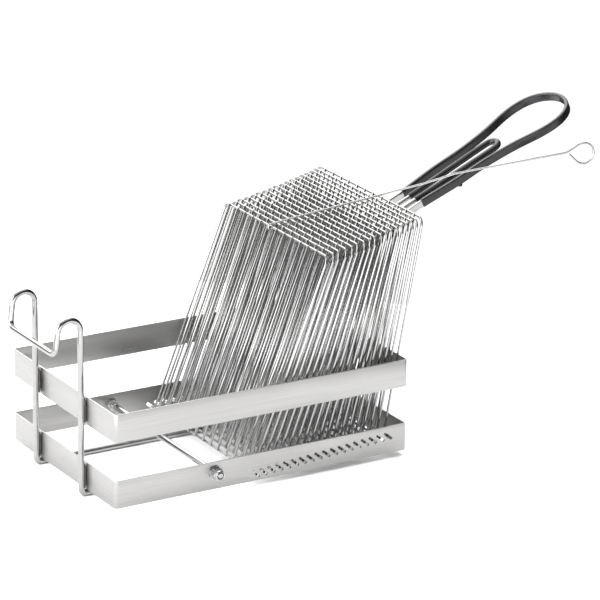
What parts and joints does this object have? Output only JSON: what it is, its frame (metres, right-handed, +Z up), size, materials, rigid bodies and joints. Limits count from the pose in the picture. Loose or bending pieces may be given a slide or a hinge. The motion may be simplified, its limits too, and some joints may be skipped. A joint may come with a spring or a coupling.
{
  "type": "wire page basket",
  "caption": "Fryer or grill basket of hinged wire pages fanned in two steel bands, with hooks, a dipped loop handle and a pull rod.",
  "frame": {"origin": "centre of the whole object's box in X and Y, at the underside of the floor rails", "axes": "+X from the hanging hooks towards the handle, +Y towards the far side, +Z up"},
  "size_m": [0.6284, 0.2432, 0.3215],
  "materials": {
    "brushed_band": "brushed lengthways, satin",
    "page_wire": "bright drawn stainless wire",
    "bright_wire": "bright drawn stainless wire",
    "fastener": "bright turned steel",
    "vinyl": "dipped vinyl, satin black"
  },
  "bodies": {
    "frame": {"upper_band": "brushed_band", "lower_band": "brushed_band", "hanger_wire": "bright_wire", "cross_rod": "bright_wire", "near_washer": "fastener", "far_washer": "fastener", "near_lock_nut": "fastener", "far_lock_nut": "fastener", "near_jam_nut": "fastener", "far_jam_nut": "fastener"},
    "page_01": {"page_01": "page_wire"},
    "page_02": {"page_02": "page_wire"},
    "page_03": {"page_03": "page_wire"},
    "page_04": {"page_04": "page_wire"},
    "page_05": {"page_05": "page_wire"},
    "page_06": {"page_06": "page_wire"},
    "page_07": {"page_07": "page_wire"},
    "page_08": {"page_08": "page_wire"},
    "page_09": {"page_09": "page_wire"},
    "page_10": {"page_10": "page_wire"},
    "page_11": {"page_11": "page_wire"},
    "page_12": {"page_12": "page_wire"},
    "page_13": {"page_13": "page_wire"},
    "page_14": {"page_14": "page_wire"},
    "page_15": {"page_15": "page_wire"},
    "page_16": {"page_16": "page_wire"},
    "page_17": {"page_17": "page_wire"},
    "page_18": {"page_18": "page_wire", "handle_outer_bar": "bright_wire", "handle_inner_bar": "bright_wire", "outer_grip": "vinyl", "inner_grip": "vinyl"},
    "pull_rod": {"pull_rod": "bright_wire"}
  },
  "joints": [
    {"name": "page_01_hinge", "type": "hinge", "parent": "frame", "child": "page_01", "pos_m": [-0.1184, 0, 0.01305], "axis": [0, 1, 0], "range_deg": [-63.71, 0]},
    {"name": "page_02_hinge", "type": "hinge", "parent": "frame", "child": "page_02", "pos_m": [-0.10936, 0, 0.0138], "axis": [0, 1, 0], "range_deg": [-63.55, 0]},
    {"name": "page_03_hinge", "type": "hinge", "parent": "frame", "child": "page_03", "pos_m": [-0.10033, 0, 0.01456], "axis": [0, 1, 0], "range_deg": [-62.69, 0]},
    {"name": "page_04_hinge", "type": "hinge", "parent": "frame", "child": "page_04", "pos_m": [-0.0913, 0, 0.01531], "axis": [0, 1, 0], "range_deg": [-62.58, 0]},
    {"name": "page_05_hinge", "type": "hinge", "parent": "frame", "child": "page_05", "pos_m": [-0.08227, 0, 0.01606], "axis": [0, 1, 0], "range_deg": [-62.14, 0]},
    {"name": "page_06_hinge", "type": "hinge", "parent": "frame", "child": "page_06", "pos_m": [-0.07323, 0, 0.01682], "axis": [0, 1, 0], "range_deg": [-61.29, 0]},
    {"name": "page_07_hinge", "type": "hinge", "parent": "frame", "child": "page_07", "pos_m": [-0.0642, 0, 0.01757], "axis": [0, 1, 0], "range_deg": [-61.09, 0]},
    {"name": "page_08_hinge", "type": "hinge", "parent": "frame", "child": "page_08", "pos_m": [-0.05517, 0, 0.01832], "axis": [0, 1, 0], "range_deg": [-60.4, 0]},
    {"name": "page_09_hinge", "type": "hinge", "parent": "frame", "child": "page_09", "pos_m": [-0.04614, 0, 0.01908], "axis": [0, 1, 0], "range_deg": [-59.58, 0]},
    {"name": "page_10_hinge", "type": "hinge", "parent": "frame", "child": "page_10", "pos_m": [-0.0371, 0, 0.01983], "axis": [0, 1, 0], "range_deg": [-59.22, 0]},
    {"name": "page_11_hinge", "type": "hinge", "parent": "frame", "child": "page_11", "pos_m": [-0.02807, 0, 0.02058], "axis": [0, 1, 0], "range_deg": [-58.35, 0]},
    {"name": "page_12_hinge", "type": "hinge", "parent": "frame", "child": "page_12", "pos_m": [-0.01904, 0, 0.02133], "axis": [0, 1, 0], "range_deg": [-57.55, 0]},
    {"name": "page_13_hinge", "type": "hinge", "parent": "frame", "child": "page_13", "pos_m": [-0.01001, 0, 0.02209], "axis": [0, 1, 0], "range_deg": [-56.99, 0]},
    {"name": "page_14_hinge", "type": "hinge", "parent": "frame", "child": "page_14", "pos_m": [-0.00097, 0, 0.02284], "axis": [0, 1, 0], "range_deg": [-56, 0]},
    {"name": "page_15_hinge", "type": "hinge", "parent": "frame", "child": "page_15", "pos_m": [0.00806, 0, 0.02359], "axis": [0, 1, 0], "range_deg": [-55.18, 0]},
    {"name": "page_16_hinge", "type": "hinge", "parent": "frame", "child": "page_16", "pos_m": [0.01709, 0, 0.02435], "axis": [0, 1, 0], "range_deg": [-54.41, 0]},
    {"name": "page_17_hinge", "type": "hinge", "parent": "frame", "child": "page_17", "pos_m": [0.02612, 0, 0.0251], "axis": [0, 1, 0], "range_deg": [-53.36, 0]},
    {"name": "page_18_hinge", "type": "hinge", "parent": "frame", "child": "page_18", "pos_m": [0.03515, 0, 0.02585], "axis": [0, 1, 0], "range_deg": [-52.45, 0]},
    {"name": "pull_rod_swing", "type": "hinge", "parent": "page_01", "child": "pull_rod", "pos_m": [-0.03391, 0.0103, 0.22536], "axis": [0, 1, 0], "range_deg": [-100, 0]}
  ],
  "couplings": [
    {"joint": "page_01_hinge", "follows": "page_18_hinge", "ratio": 1.2145},
    {"joint": "page_02_hinge", "follows": "page_18_hinge", "ratio": 1.2115},
    {"joint": "page_03_hinge", "follows": "page_18_hinge", "ratio": 1.1951},
    {"joint": "page_04_hinge", "follows": "page_18_hinge", "ratio": 1.193},
    {"joint": "page_05_hinge", "follows": "page_18_hinge", "ratio": 1.1845},
    {"joint": "page_06_hinge", "follows": "page_18_hinge", "ratio": 1.1683},
    {"joint": "page_07_hinge", "follows": "page_18_hinge", "ratio": 1.1644},
    {"joint": "page_08_hinge", "follows": "page_18_hinge", "ratio": 1.1513},
    {"joint": "page_09_hinge", "follows": "page_18_hinge", "ratio": 1.1358},
    {"joint": "page_10_hinge", "follows": "page_18_hinge", "ratio": 1.1289},
    {"joint": "page_11_hinge", "follows": "page_18_hinge", "ratio": 1.1123},
    {"joint": "page_12_hinge", "follows": "page_18_hinge", "ratio": 1.097},
    {"joint": "page_13_hinge", "follows": "page_18_hinge", "ratio": 1.0864},
    {"joint": "page_14_hinge", "follows": "page_18_hinge", "ratio": 1.0676},
    {"joint": "page_15_hinge", "follows": "page_18_hinge", "ratio": 1.0519},
    {"joint": "page_16_hinge", "follows": "page_18_hinge", "ratio": 1.0372},
    {"joint": "page_17_hinge", "follows": "page_18_hinge", "ratio": 1.0172}
  ]
}
